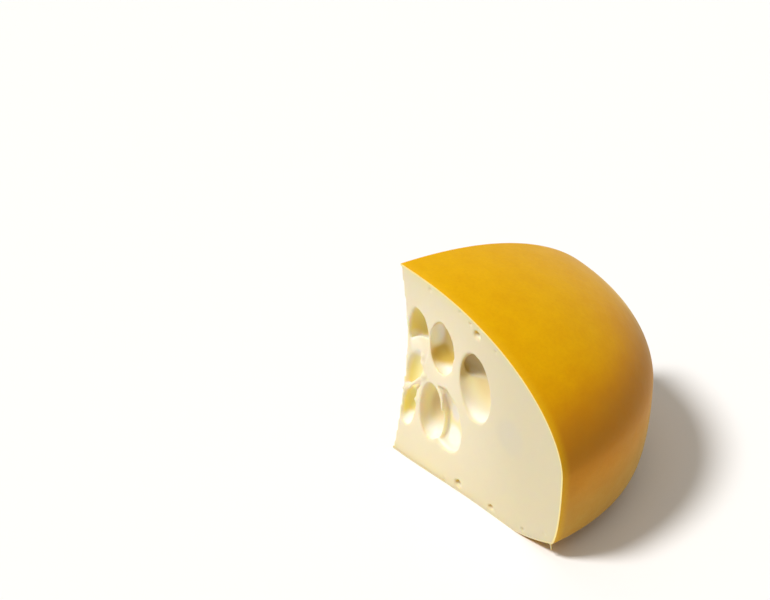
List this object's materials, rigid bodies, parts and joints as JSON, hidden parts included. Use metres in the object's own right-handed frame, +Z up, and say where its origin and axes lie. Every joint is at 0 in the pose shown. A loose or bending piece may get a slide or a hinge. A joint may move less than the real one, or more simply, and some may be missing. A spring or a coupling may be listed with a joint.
{
  "type": "cheese wedge",
  "caption": "Quarter wedge cut from a domed, large-eyed cheese wheel: glossy yellow rind over the crown, side and underside, and two pale cut faces with deep oval eyes.",
  "frame": {"origin": "middle of the wedge's box, on the surface that it stands on", "axes": "+Z up; the front cut face looks along -Y, the side cut face along -X, and the domed rind towards +X and +Y"},
  "size_m": [0.1786, 0.1782, 0.149],
  "materials": {
    "cheese": "satin",
    "rind": "glossy"
  },
  "bodies": {
    "root": {"cheese_wedge": "cheese"}
  },
  "joints": []
}
